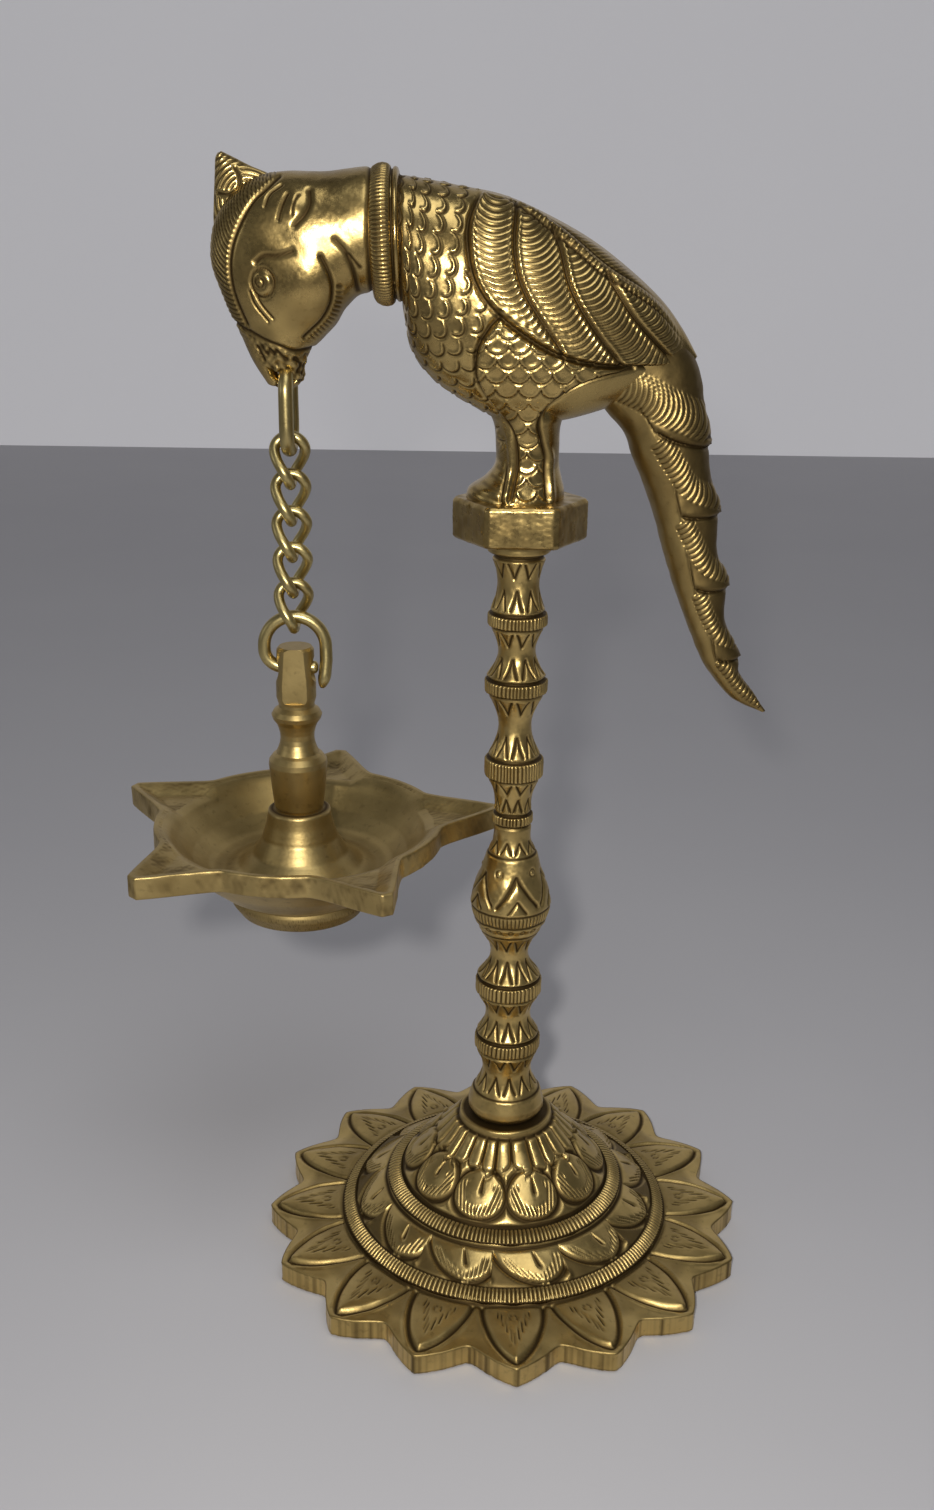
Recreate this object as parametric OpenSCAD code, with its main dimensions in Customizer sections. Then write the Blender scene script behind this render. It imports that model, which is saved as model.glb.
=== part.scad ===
// Standing oil lamp (samai): a bird on a turned pillar carries a five-spout bowl on a chain.
// Millimetres, +Z up. The origin is on the pillar's axis, in the plane the base stands on.
// The bird faces -X, and everything below its beak hangs on one vertical line at x = hang_x.

/* [Base] */
// Diameter over the tips of the outer petals
base_d = 140; // [134:1:146]
// Number of outer petals round the base
petals = 16; // [12:1:20]
// Height of the filed edge of the base
edge_h = 6; // [5:0.5:7]
// Depth of the notches between the outer petals
notch = 8.5; // [6:0.5:10]
// Angle of the first outer petal from the front, towards the bird's tail
petal_turn = 2; // [0:1:22]

/* [Pillar] */
// Radius of the threaded spigot below the pillar
foot_spigot_r = 5; // [4:0.5:6]
// Radius of the threaded spigot above the pillar
top_spigot_r = 4; // [3:0.5:4.5]
// Radial clearance of the screwed joints
thread_gap = 0.1; // [0.05:0.05:0.2]

/* [Bird] */
// Radius of the perch that the bird stands on
perch_r = 17.3; // [16:0.1:18]
// Height of the perch
perch_h = 10.6; // [9:0.1:12]
// Radius of the hole through the beak
beak_hole_r = 2.6; // [2.5:0.05:2.8]

/* [Chain] */
// Wire radius of the long link in the beak
beak_wire_r = 1.85; // [1.6:0.05:1.9]
// Wire radius of the twisted chain links
link_wire_r = 1.4; // [1.2:0.05:1.45]
// Wire radius of the ring in the lamp's stem
ring_wire_r = 1.7; // [1.5:0.05:1.75]
// Length of a chain link between its two end wires, centre to centre
link_len = 12.3; // [12.1:0.05:12.5]
// Gap between wires that hang in each other
wire_gap = 0.1; // [0.05:0.05:0.2]

/* [Lamp] */
// Radius of the bowl over the tips of its spouts
spout_r = 56.25; // [50:0.25:56.25]
// Height of the bowl's rim above the ground
rim_z = 131.5; // [131:0.5:132]
// Angle of the first spout from the +X direction
spout_turn = 10.9; // [9:0.1:12]

/* [Hidden] */
$fn = 64;

cast_brass = [0.72, 0.56, 0.26];
lamp_brass = [0.62, 0.50, 0.25];
wire_brass = [0.60, 0.52, 0.28];
dark_brass = [0.45, 0.36, 0.20];

hang_x = -58.4;        // the line that the chain and the lamp hang on
pillar_z = 40;         // seat of the pillar on the base
pillar_top = 209.8;    // seat of the bird on the pillar
base_wall = 4;
link_half_w = 3.95;    // half width of a chain link, to the wire's centre
beak_link_half = 6;    // half width of the long link, to the wire's centre
beak_link_top = 251.6; // centre of the long link's upper wire, in the beak
beak_link_low = 231.65;
ring_r = 8.1;          // radius of the ring's upper half, to the wire's centre
ring_corner = 5;       // bend where the ring turns into the stem's eye
ring_seat = 174.5;     // centre of the ring's wire in the stem's eye
ring_mid = 180.2;      // centre of the ring's upper half
spouts = 5;

// Upper wire of the chain link number i, counted from the beak, and its lower wire.
function link_top(i) = beak_link_low + beak_wire_r + link_wire_r + wire_gap
    - (i - 1) * (link_len - 2 * link_wire_r - wire_gap);
function link_low(i) = link_top(i) - link_len;

// Half a wave from [r0, z0] to [r1, z1] that is rn thick half way up: a waist of the pillar.
function waist(z0, r0, z1, r1, rn, n = 8) =
    [for (i = [0:n]) let (t = i / n)
        [r0 + (r1 - r0) * t - ((r0 + r1) / 2 - rn) * sin(180 * t), z0 + (z1 - z0) * t]];

// A straight milled band of radius r with bevels of depth b at its two edges.
function band(z0, z1, r, b = 0.5) = [[r - b, z0], [r, z0 + b], [r, z1 - b], [r - b, z1]];

// ---- base ----

// One petal of the outline: its tip, then a straight flank down to the notch and up again.
function petal_outline(count, tip, deep, turn) =
    [for (i = [0:2 * count - 1])
        let (r = i % 2 == 0 ? tip : tip - deep, a = turn + i * 180 / count - 90)
        [r * cos(a), r * sin(a)]];

module lotus_base() {
    tip = base_d / 2;
    dome = [[13.3, pillar_z], [13.6, 38.6], [16, 35.6], [19, 32.4], [23, 28.6], [27, 24.6], [30, 21.4]];
    tiers = [[30.7, 20.4], [32.6, 20.6], [34.6, 18.6], [35.2, 17], [39, 14.4], [44, 11.6],
        [45, 11.4], [47.6, 9.6], [48.2, 8.2], [60, 7.2], [tip + 1, edge_h]];
    hollow = [[0, -1], [58, -1], [57, 2.5], [48, 4], [44, 7.5], [36, 12], [31, 15.6], [26, 20.6],
        [20, 26.6], [13.4, 33.4], [13.2, pillar_z - base_wall], [0, pillar_z - base_wall]];
    color(cast_brass) difference() {
        intersection() {
            rotate_extrude() polygon(concat([[0, 0], [0, pillar_z]], dome, tiers, [[tip + 1, 0]]));
            linear_extrude(pillar_z + 1) polygon(petal_outline(petals, tip, notch, petal_turn));
        }
        rotate_extrude() polygon(hollow);
        cylinder(r = foot_spigot_r + thread_gap, h = pillar_z + 1);
    }
}

washer_t = 1.6;
nut_t = 7;
nut_flats = 17;
thread_seat = pillar_z - base_wall;

module base_washer() {
    color(dark_brass) translate([0, 0, thread_seat - washer_t]) difference() {
        cylinder(r = 11, h = washer_t);
        translate([0, 0, -1]) cylinder(r = foot_spigot_r + 2 * thread_gap, h = washer_t + 2);
    }
}

module base_nut() {
    color(dark_brass) translate([0, 0, thread_seat - washer_t - nut_t]) difference() {
        cylinder(r = nut_flats / 2 / cos(30), h = nut_t, $fn = 6);
        translate([0, 0, -1]) cylinder(r = foot_spigot_r + thread_gap, h = nut_t + 2);
    }
}

// ---- pillar ----

module pillar() {
    foot = [[9.6, pillar_z], [10.9, 42], [10.9, 44], [10.1, 46.6], [9.8, 47.8]];
    lower = concat(waist(48.6, 9, 60.4, 8.8, 7, 8), band(61, 65.6, 9.4),
        waist(66.4, 8.9, 78.4, 8.6, 6.3, 8), band(79, 84, 9.4), waist(84.8, 8.9, 98, 7.8, 5.3, 8));
    bulb = [[8.7, 99.2], [8.9, 100.6], [10, 102], [10.9, 105.2], [11.3, 107.5], [10.6, 111.3],
        [9.5, 114.4], [8.3, 117.4], [7.5, 120.5], [7.1, 122]];
    middle = concat(waist(123, 6.6, 130.4, 5.1, 5.2, 6), band(131, 134.4, 5.6, 0.3),
        waist(135, 5.1, 144, 6.9, 5.2, 6), band(144.6, 150.6, 8, 0.6),
        waist(151.2, 7, 167.8, 7.3, 4.4, 10), band(168.4, 172.6, 8.4),
        waist(173.2, 7.8, 186, 6.8, 5, 8), band(186.6, 190.6, 7.9),
        waist(191.2, 7.2, 204.6, 6.9, 5.5, 8), [[6.4, 205.6]]);
    top = band(206, pillar_top, 8.2, 0.4);
    color(cast_brass) {
        rotate_extrude() polygon(concat([[0, pillar_z]], foot, lower, bulb, middle, top, [[0, pillar_top]]));
        translate([0, 0, 22]) cylinder(r = foot_spigot_r, h = pillar_z - 21);
        translate([0, 0, pillar_top - 1]) cylinder(r = top_spigot_r, h = 8);
    }
}

// ---- bird ----

// A skin over a row of oval sections. Each station is [x, z] of one side, [x, z] of the other
// side and the half width across; every section is fuller than an ellipse by the power full.
module loft(stations, sides = 20, full = 0.88) {
    function fat(v) = sign(v) * pow(abs(v), full);
    last = len(stations) - 1;
    points = [for (s = stations, i = [0:sides - 1])
        let (c = fat(cos(360 * i / sides)), q = fat(sin(360 * i / sides)))
        [(s[0] + s[2]) / 2 + (s[0] - s[2]) / 2 * c, s[4] * q, (s[1] + s[3]) / 2 + (s[1] - s[3]) / 2 * c]];
    skin = [for (j = [0:last - 1], i = [0:sides - 1])
        let (a = j * sides + i, b = j * sides + (i + 1) % sides)
        each [[a, b, b + sides], [a, b + sides, a + sides]]];
    ends = [[for (i = [sides - 1:-1:0]) i], [for (i = [0:sides - 1]) last * sides + i]];
    polyhedron(points, concat(skin, ends), convexity = 6);
}

// From the point of the beak over the head, the neck and the back to the wing tip.
bird_stations = [
    [-63.4, 247.8, -57.6, 246.4, 2.8], [-67, 253.6, -55, 248.2, 4.4], [-70.4, 261.6, -54.2, 250.6, 6.2],
    [-73.8, 269.8, -53.9, 252.6, 8.4], [-75.9, 278, -53.2, 254.8, 10.4], [-74, 287, -51.6, 256.8, 12],
    [-67.5, 294.4, -49, 259.2, 13.2], [-58.5, 297, -46, 262.4, 13.8], [-48, 297.2, -43.4, 266.4, 13.6],
    [-37, 298.4, -38.8, 269.6, 13.6], [-29.5, 296.6, -30.6, 268, 13.8], [-24, 295.8, -27.8, 257, 15],
    [-16, 294.4, -22.4, 249.6, 16.2], [-6.2, 292.6, -13.5, 243.8, 17], [3.4, 288.9, -4, 239.6, 17],
    [15, 283, 7, 239.5, 16], [25, 276, 17, 241.8, 13.5], [33.2, 268.9, 27, 245.5, 9.5],
    [38.5, 262.4, 35, 249.4, 5.5], [42.6, 255.8, 41, 253.8, 1.2]];
tail_stations = [
    [35, 263, 20, 243, 9], [42.4, 254.6, 25.4, 237, 9], [45.6, 242, 27.8, 231, 8.6], [47.4, 229, 31, 224, 7.8],
    [50.2, 217.6, 34, 216.2, 7], [50.8, 207.4, 37, 206.8, 6.2], [53.6, 199.4, 40.4, 197.2, 5.6],
    [54, 189.4, 44, 188.4, 4.8], [58.2, 179, 48.6, 178.2, 4], [58.8, 174.8, 52.4, 173, 3.2],
    [62.6, 169.8, 57.6, 167.6, 2.2], [66.7, 164.2, 65.6, 163.8, 0.8]];
leg_stations = [
    [13, 247, -13, 247, 13], [10.4, 240, -9.2, 240, 11], [9.6, 234, -6.8, 234, 9.4],
    [9.6, 229, -6.8, 229, 9], [10.3, 225.6, -9.6, 225.6, 9.4], [10.9, 222.8, -13.6, 222.8, 10.4],
    [11, 218, -14, 218, 10.6]];
crest_outline = [[-73.2, 301.5], [-60, 296], [-60, 284], [-75, 284], [-74.2, 293]];

module bird() {
    crest_t = 5;
    collar = [-33.8, 283];
    collar_turn = -88;
    hole_z = beak_link_top - 0.35;
    perch_flats = 6;
    color(cast_brass) difference() {
        union() {
            loft(bird_stations);
            loft(tail_stations, 16);
            loft(leg_stations, 16);
            translate([0, crest_t / 2, 0]) rotate([90, 0, 0]) linear_extrude(crest_t) polygon(crest_outline);
            translate([collar[0], 0, collar[1]]) rotate([0, collar_turn, 0]) rotate_extrude()
                polygon([[10, -3.2], [14.6, -3.2], [16, -2], [16.5, 0], [16, 2], [14.6, 3.2], [10, 3.2]]);
            translate([0, 0, pillar_top]) intersection() {
                cylinder(r = perch_r, h = perch_h);
                cylinder(r = perch_r * 1.02, h = perch_h, $fn = perch_flats);
            }
        }
        translate([0, 0, pillar_top - 1]) cylinder(r = top_spigot_r + thread_gap, h = 9.5);
        translate([hang_x, 10, hole_z]) rotate([90, 0, 0]) cylinder(r = beak_hole_r, h = 20);
        for (side = [-1, 1])
            translate([hang_x, side * 1.6, hole_z]) rotate([-90 * side, 0, 0])
                cylinder(r1 = beak_hole_r, r2 = beak_hole_r + 3.2, h = 3.4);
    }
}

// ---- chain ----

// The long link: two straight wires joined by two half rings, in the plane across the beak.
module beak_link() {
    low = beak_link_low + beak_link_half;
    high = beak_link_top - beak_link_half;
    color(wire_brass) translate([hang_x, 0, 0]) rotate([0, 0, 90]) {
        for (side = [-1, 1])
            translate([side * beak_link_half, 0, low]) cylinder(r = beak_wire_r, h = high - low);
        for (end = [[high, 90], [low, -90]])
            translate([0, 0, end[0]]) rotate([end[1], 0, 0]) rotate_extrude(angle = 180)
                translate([beak_link_half, 0]) circle(r = beak_wire_r);
    }
}

function unit(v) = v / norm(v);

// A closed wire of radius r through the points of path, which goes once round its own middle.
module closed_wire(path, r, sides = 10) {
    n = len(path);
    middle = [for (k = [0:2]) [for (p = path) p[k]] * [for (p = path) 1] / n];
    points = [for (i = [0:n - 1])
        let (along = unit(path[(i + 1) % n] - path[(i + n - 1) % n]),
            out = path[i] - middle,
            across = unit(out - along * (out * along)),
            up = cross(along, across))
        for (k = [0:sides - 1]) path[i] + r * (across * cos(360 * k / sides) + up * sin(360 * k / sides))];
    skin = [for (i = [0:n - 1], k = [0:sides - 1])
        let (a = i * sides + k, b = i * sides + (k + 1) % sides,
            c = ((i + 1) % n) * sides + (k + 1) % sides, d = ((i + 1) % n) * sides + k)
        each [[a, c, b], [a, d, c]]];
    polyhedron(points, skin, convexity = 4);
}

// The centre line of a twisted link: an oval whose lower end is turned a quarter round the upper.
function twisted_oval(half_w, len, steps = 8, rungs = 4) =
    let (side = len / 2 - half_w,
        upper = [for (i = [0:steps]) [half_w * cos(180 * i / steps), side + half_w * sin(180 * i / steps)]],
        left = [for (i = [1:rungs - 1]) [-half_w, side - 2 * side * i / rungs]],
        flat = concat(upper, left, -upper, -left))
    [for (p = flat) let (turn = 45 * (1 - sin(180 * p[1] / len)))
        [p[0] * cos(turn), p[0] * sin(turn), p[1]]];

module chain_link(i) {
    color(wire_brass) translate([hang_x, 0, (link_top(i) + link_low(i)) / 2])
        closed_wire(twisted_oval(link_half_w, link_len), link_wire_r);
}

// The ring in the stem: half a circle, a left bend into the eye, and a free end that overlaps.
module lamp_ring() {
    stub = 6;
    tail = [7.4, -1, -10.2];
    tail_tilt = atan2(ring_r - tail[0], -tail[2]);
    tail_lean = atan2(-tail[1], -tail[2]);
    color(wire_brass) translate([hang_x, 0, ring_mid]) {
        rotate([90, 0, 0]) rotate_extrude(angle = 180) translate([ring_r, 0]) circle(r = ring_wire_r);
        translate([-ring_r, 0, ring_seat + ring_corner - ring_mid])
            cylinder(r = ring_wire_r, h = ring_mid - ring_seat - ring_corner);
        translate([ring_corner - ring_r, 0, ring_seat + ring_corner - ring_mid]) rotate([90, 180, 0])
            rotate_extrude(angle = 90) translate([ring_corner, 0]) circle(r = ring_wire_r);
        translate([ring_corner - ring_r, 0, ring_seat - ring_mid]) rotate([0, 90, 0])
            cylinder(r = ring_wire_r, h = ring_r - ring_corner + stub);
        translate([ring_r, 0, 0]) sphere(r = ring_wire_r);
        translate([ring_r, 0, 0]) rotate([-tail_lean, 180 + tail_tilt, 0])
            cylinder(r = ring_wire_r, h = norm(tail - [ring_r, 0, 0]));
    }
}

// ---- lamp ----

cone_top = 134.6;

module lamp_stem() {
    barrel_r = 5.3;
    flat_y = 4.2;
    eye_r = ring_wire_r + 0.5;
    eye_z = ring_seat - 0.4;
    profile = concat([[6.2, cone_top], [6.7, 135.4], [7.3, 141], [7.9, 147.4], [7.75, 148.8], [6.7, 150.2]],
        waist(150.8, 5.8, 159, 5.4, 4.55, 6), [[6.4, 160.4], [6.75, 161.6], [6.1, 162.8], [4.8, 163.8],
        [4.8, 164.6], [barrel_r, 166.4], [barrel_r, 170], [4.9, 179.6], [4.3, 180.3]]);
    color(lamp_brass) translate([hang_x, 0, 0]) difference() {
        union() {
            rotate_extrude() polygon(concat([[0, cone_top]], profile, [[0, 180.3]]));
            translate([0, 0, cone_top - 9]) cylinder(r = 3, h = 10);
        }
        for (side = [-1, 1])
            translate([-10, side * (flat_y + 5) - 5, 165.4]) cube([20, 10, 20]);
        translate([-10, 0, eye_z]) rotate([0, 90, 0]) cylinder(r = eye_r, h = 20);
        for (side = [-1, 1])
            translate([side * 2.8, 0, eye_z]) rotate([0, 90 * side, 0])
                cylinder(r1 = eye_r, r2 = eye_r + 1.6, h = 3.2);
    }
}

// The outline of the bowl seen from above: round between the spouts, hollow flanks to blunt tips.
function spout_outline(round_r, tip, steps = 12) =
    [for (s = [0:spouts - 1], i = [-steps:steps - 1])
        let (away = abs(i) / steps, a = spout_turn + 360 / spouts * (s + i / (2 * steps)),
            rise = min(1, max(0, 1.08 - 1.9 * away)))
        (round_r + (tip - round_r) * pow(rise, 1.6)) * [cos(a), sin(a)]];

module lamp_bowl() {
    rim_h = 6;
    rim_r = 39.5;
    trough_depth = 2.4;
    outside = [[0, 112.5], [14, 112.5], [15.4, 104.9], [17, 104.9], [19.4, 108.4], [19.4, 110],
        [18.8, 110.6], [23, 113], [29, 118], [34, 123], [36.5, 127], [38, rim_z]];
    inside = [[0, cone_top + 1], [8, cone_top + 1], [8.5, cone_top - 0.4], [9, 131], [10.3, 126.4], [13, 122],
        [17, 118.6], [21, 117.4], [25, 118.8], [29.5, 122.4], [33.4, 127], [36, rim_z], [36, rim_z + 9], [0, rim_z + 9]];
    cone = [[0, 112.6], [22, 117.6], [17, 118.6], [13, 122], [10.3, 126.4], [9, 131], [8.5, cone_top - 0.4],
        [8, cone_top], [0, cone_top]];
    color(lamp_brass) translate([hang_x, 0, 0]) difference() {
        union() {
            difference() {
                union() {
                    rotate_extrude() polygon(concat(outside, [[0, rim_z]]));
                    translate([0, 0, rim_z - rim_h]) linear_extrude(rim_h) polygon(spout_outline(rim_r, spout_r));
                }
                rotate_extrude() polygon([for (p = inside) p[0] < 22 ? [p[0], max(p[1], 117.4)] : p]);
                translate([0, 0, rim_z - trough_depth]) linear_extrude(rim_h)
                    polygon(spout_outline(rim_r - 6, spout_r - 4));
            }
            rotate_extrude() polygon(cone);
        }
        translate([0, 0, cone_top - 9.4]) cylinder(r = 3 + thread_gap, h = 10);
    }
}

lotus_base();
base_washer();
base_nut();
pillar();
bird();
beak_link();
chain_link(1);  // chain_link_1
chain_link(2);  // chain_link_2
chain_link(3);  // chain_link_3
chain_link(4);  // chain_link_4
chain_link(5);  // chain_link_5
lamp_ring();
lamp_stem();
lamp_bowl();
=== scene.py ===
import math
import bpy
import numpy as np
from mathutils import Matrix, Vector


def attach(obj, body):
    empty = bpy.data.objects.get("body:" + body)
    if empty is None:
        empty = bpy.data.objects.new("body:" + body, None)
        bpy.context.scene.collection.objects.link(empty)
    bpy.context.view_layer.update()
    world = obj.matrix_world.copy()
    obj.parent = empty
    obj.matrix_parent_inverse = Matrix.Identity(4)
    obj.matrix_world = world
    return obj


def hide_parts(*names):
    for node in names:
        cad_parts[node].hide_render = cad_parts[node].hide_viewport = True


# Looks of a standing brass oil lamp: a chased bird on a turned pillar, a chain and a five-spout bowl.
# Shapes are worked out in millimetres in the CAD frame and become metres in solid().
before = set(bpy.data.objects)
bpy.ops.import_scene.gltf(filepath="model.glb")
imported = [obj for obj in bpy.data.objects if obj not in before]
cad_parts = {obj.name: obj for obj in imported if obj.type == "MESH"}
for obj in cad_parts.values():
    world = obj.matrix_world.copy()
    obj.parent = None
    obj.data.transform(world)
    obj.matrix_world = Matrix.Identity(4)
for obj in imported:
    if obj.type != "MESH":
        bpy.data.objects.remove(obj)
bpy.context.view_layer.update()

MM = 0.001
TAU = 2 * math.pi
FRONT = -math.pi / 2          # the direction that faces the camera, seen from above
HANG_X = -58.4                # the chain's line
PILLAR_Z = 40.0
PILLAR_TOP = 209.8


# ---- curves and surfaces ----

def even(rows, spacing):
    """The same line of rows with a constant distance between neighbours."""
    step = np.linalg.norm(np.diff(rows, axis=0), axis=1)
    run = np.concatenate([[0], np.cumsum(step)])
    at = np.linspace(0, run[-1], max(int(run[-1] / spacing), 3) + 1)
    return np.stack([np.interp(at, run, rows[:, k]) for k in range(rows.shape[1])], axis=1)


def spline(stations, spacing):
    """Rows on a smooth curve through the stations."""
    s = np.array(stations, float)
    p = np.vstack([2 * s[0] - s[1], s, 2 * s[-1] - s[-2]])
    t = np.linspace(0, 1, 24, endpoint=False)[:, None]
    spans = []
    for a, b, c, d in zip(p[:-3], p[1:-2], p[2:-1], p[3:]):
        bend = (2 * a - 5 * b + 4 * c - d) * t ** 2 + (3 * b - 3 * c + d - a) * t ** 3
        spans.append(0.5 * (2 * b + (c - a) * t + bend))
    return even(np.vstack(spans + [s[-1:]]), spacing)


def directions(cols):
    """Even directions round an axis, as one row."""
    return np.linspace(0, TAU, cols, endpoint=False)[None, :]


def corners(points, spacing):
    """Rows on straight lines between the points."""
    return even(np.array(points, float), spacing)


def loft(rows, cols, full=0.88):
    """Oval sections. A row is x, z of one side, x, z of the other side and the half width in y."""
    turn = directions(cols)
    c = np.sign(np.cos(turn)) * np.abs(np.cos(turn)) ** full
    q = np.sign(np.sin(turn)) * np.abs(np.sin(turn)) ** full
    ax, az, bx, bz, half = [rows[:, k:k + 1] for k in range(5)]
    x = (ax + bx) / 2 + (ax - bx) / 2 * c
    z = (az + bz) / 2 + (az - bz) / 2 * c
    return np.stack([x, half * q, z], axis=2)


def turned(rows, cols, edge=None):
    """A surface round the Z axis. A row is radius, z and, with an edge, its share of the edge's lobes."""
    turn = directions(cols)
    radius = rows[:, 0:1] + (rows[:, 2:3] * edge(turn) if edge else 0 * turn)
    return np.stack([radius * np.cos(turn), radius * np.sin(turn), rows[:, 1:2] + 0 * turn], axis=2)


def outward(p, loop):
    """Unit normals of a grid of points, pointing out of it."""
    if loop:
        along = np.roll(p, -1, 0) - np.roll(p, 1, 0)
    else:
        along = np.gradient(p, axis=0)
    n = np.cross(along, np.roll(p, -1, 1) - np.roll(p, 1, 1))
    n /= np.maximum(np.linalg.norm(n, axis=2, keepdims=True), 1e-9)
    return n * (1 if volume(p, loop) > 0 else -1)


def volume(p, loop):
    """Six times the volume inside a grid of points, with the sign of its winding."""
    nxt = np.roll(p, -1, 0) if loop else p[1:]
    a = p if loop else p[:-1]
    b = np.roll(a, -1, 1)
    c = np.roll(nxt, -1, 1)
    total = (np.cross(a, nxt) * c).sum() + (np.cross(a, c) * b).sum()
    if not loop:
        for row, sign in ((p[0], -1), (p[-1], 1)):
            total -= sign * (np.cross(row, np.roll(row, -1, 0)) * row.mean(0)).sum()
    return total


def solid(name, points, dark, loop=False):
    """A closed mesh of a grid that goes round its columns, with its ends filled or its rows closed."""
    rows, cols = points.shape[:2]
    r = np.arange(rows if loop else rows - 1)[:, None]
    c = np.arange(cols)[None, :]
    low, high = r * cols, (r + 1) % rows * cols
    after = (c + 1) % cols
    loops = np.stack([low + c, high + c, high + after, low + after], axis=2).reshape(-1)
    verts = points.reshape(-1, 3)
    shade = dark.reshape(-1)
    sizes = np.full(len(loops) // 4, 4)
    if not loop:
        verts = np.vstack([verts, points[0].mean(0), points[-1].mean(0)])
        shade = np.concatenate([shade, [dark[0].mean(), dark[-1].mean()]])
        ring = np.arange(cols)
        nxt = (ring + 1) % cols
        last = (rows - 1) * cols
        start = np.stack([ring, nxt, np.full(cols, rows * cols)], axis=1)
        stop = np.stack([last + nxt, last + ring, np.full(cols, rows * cols + 1)], axis=1)
        loops = np.concatenate([loops, start.reshape(-1), stop.reshape(-1)])
        sizes = np.concatenate([sizes, np.full(2 * cols, 3)])
    if volume(points, loop) < 0:
        loops = flip(loops, sizes)
    mesh = bpy.data.meshes.new(name)
    mesh.vertices.add(len(verts))
    mesh.vertices.foreach_set("co", (verts * MM).astype(np.float32).reshape(-1))
    mesh.loops.add(len(loops))
    mesh.loops.foreach_set("vertex_index", loops.astype(np.int32))
    mesh.polygons.add(len(sizes))
    starts = np.concatenate([[0], np.cumsum(sizes)[:-1]])
    mesh.polygons.foreach_set("loop_start", starts.astype(np.int32))
    mesh.update(calc_edges=True)
    mesh.shade_smooth()
    # The darkening attribute holds both the patina in the cuts and painted shade in recesses and on the tail.
    patina_and_shade = mesh.attributes.new("patina_and_shade", "FLOAT", "POINT")
    patina_and_shade.data.foreach_set("value", shade.astype(np.float32))
    obj = bpy.data.objects.new(name, mesh)
    bpy.context.scene.collection.objects.link(obj)
    return obj


def flip(loops, sizes):
    """The same faces wound the other way round."""
    four = int((sizes == 4).sum()) * 4
    quads = loops[:four].reshape(-1, 4)[:, ::-1]
    tris = loops[four:].reshape(-1, 3)[:, ::-1]
    return np.concatenate([quads.reshape(-1), tris.reshape(-1)])


# ---- relief ----

class Relief:
    """Height above a surface and its darkening: the dark patina that stays in its cuts, stains, and in a few
    places painted shade.
    """

    def __init__(self, points):
        self.height = np.zeros(points.shape[:2])
        self.dark = np.zeros(points.shape[:2])

    def cut(self, gap, width, depth, where=1.0, dark=1.0):
        """A chased groove where gap is small."""
        line = np.exp(-(gap / width) ** 2) * where
        self.height -= depth * line
        self.dark = np.maximum(self.dark, dark * line)

    def ridge(self, gap, width, high, where=1.0):
        """A raised line where gap is small."""
        self.height += high * np.exp(-(gap / width) ** 2) * where

    def mill(self, phase, depth, where=1.0, dark=0.8, thin=2):
        """Rows of small grooves, one for each whole number of phase."""
        valley = (0.5 + 0.5 * np.cos(TAU * phase)) ** thin
        self.height -= depth * valley * where
        self.dark = np.maximum(self.dark, dark * valley * where)

    def swell(self, amount):
        self.height += amount

    def shade(self, amount):
        self.dark = np.maximum(self.dark, amount)

    def on(self, points, loop=False):
        return points + outward(points, loop) * self.height[..., None]


def soft(value, low, high):
    """0 below low, 1 above high, and smooth between them."""
    t = np.clip((value - low) / (high - low), 0, 1)
    return t * t * (3 - 2 * t)


def within(value, low, high, edge=0.4):
    return soft(value, low - edge, low + edge) * (1 - soft(value, high - edge, high + edge))


def reach(x, z, curve):
    """Distance to a curve, the run along it to the nearest place, and the side: 1 on its left, else -1."""
    best = np.full(x.shape, 1e9)
    run = np.zeros(x.shape)
    side = np.ones(x.shape)
    start = 0.0
    for a, b in zip(curve[:-1], curve[1:]):
        dx, dz = b - a
        length = math.hypot(dx, dz)
        t = np.clip(((x - a[0]) * dx + (z - a[1]) * dz) / length ** 2, 0, 1)
        gap = np.hypot(x - a[0] - t * dx, z - a[1] - t * dz)
        near = gap < best
        best = np.where(near, gap, best)
        run = np.where(near, start + t * length, run)
        side = np.where(near, np.where(dx * (z - a[1]) - dz * (x - a[0]) > 0, 1.0, -1.0), side)
        start += length
    return best, run, side


def line(points):
    """A smooth curve for reach()."""
    return spline(points, 0.8)


def groove(relief, x, z, points, width, depth, where=1.0):
    """A chased line through the points."""
    relief.cut(reach(x, z, line(points))[0], width, depth, where)


def dents(points, seed, size):
    """Smooth noise of unit strength whose bumps are about half of size across, the same each run."""
    rng = np.random.default_rng(seed)
    total = np.zeros(points.shape[:2])
    for _ in range(14):
        way = rng.normal(size=3)
        way *= TAU / size / np.linalg.norm(way) * rng.uniform(0.6, 1.5)
        total += np.cos(points @ way + rng.uniform(0, TAU))
    return total / math.sqrt(7)


def scales(relief, u, v, long, wide, where):
    """Overlapping round scales with a raised lip. Their free ends point along +u."""
    radius = 0.51 * wide
    first = np.floor(u / long)
    height = np.zeros(u.shape)
    covered = np.zeros(u.shape, bool)
    edge = np.full(u.shape, 9.0)
    for back in (2, 1, 0):
        row = first - back
        centre = (np.floor(v / wide - 0.5 * (row % 2)) + 0.5 + 0.5 * (row % 2)) * wide
        far = np.hypot(u - row * long, v - centre)
        inside = (far < radius) & (u > row * long) & ~covered
        height = np.where(inside, np.exp(-((radius - far - 0.35) / 0.55) ** 2), height)
        edge = np.where(~covered & ~inside, np.minimum(edge, np.abs(far - radius)), edge)
        covered |= inside
    relief.swell(0.26 * height * where)
    relief.cut(edge, 0.40, 0.34, where)


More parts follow.
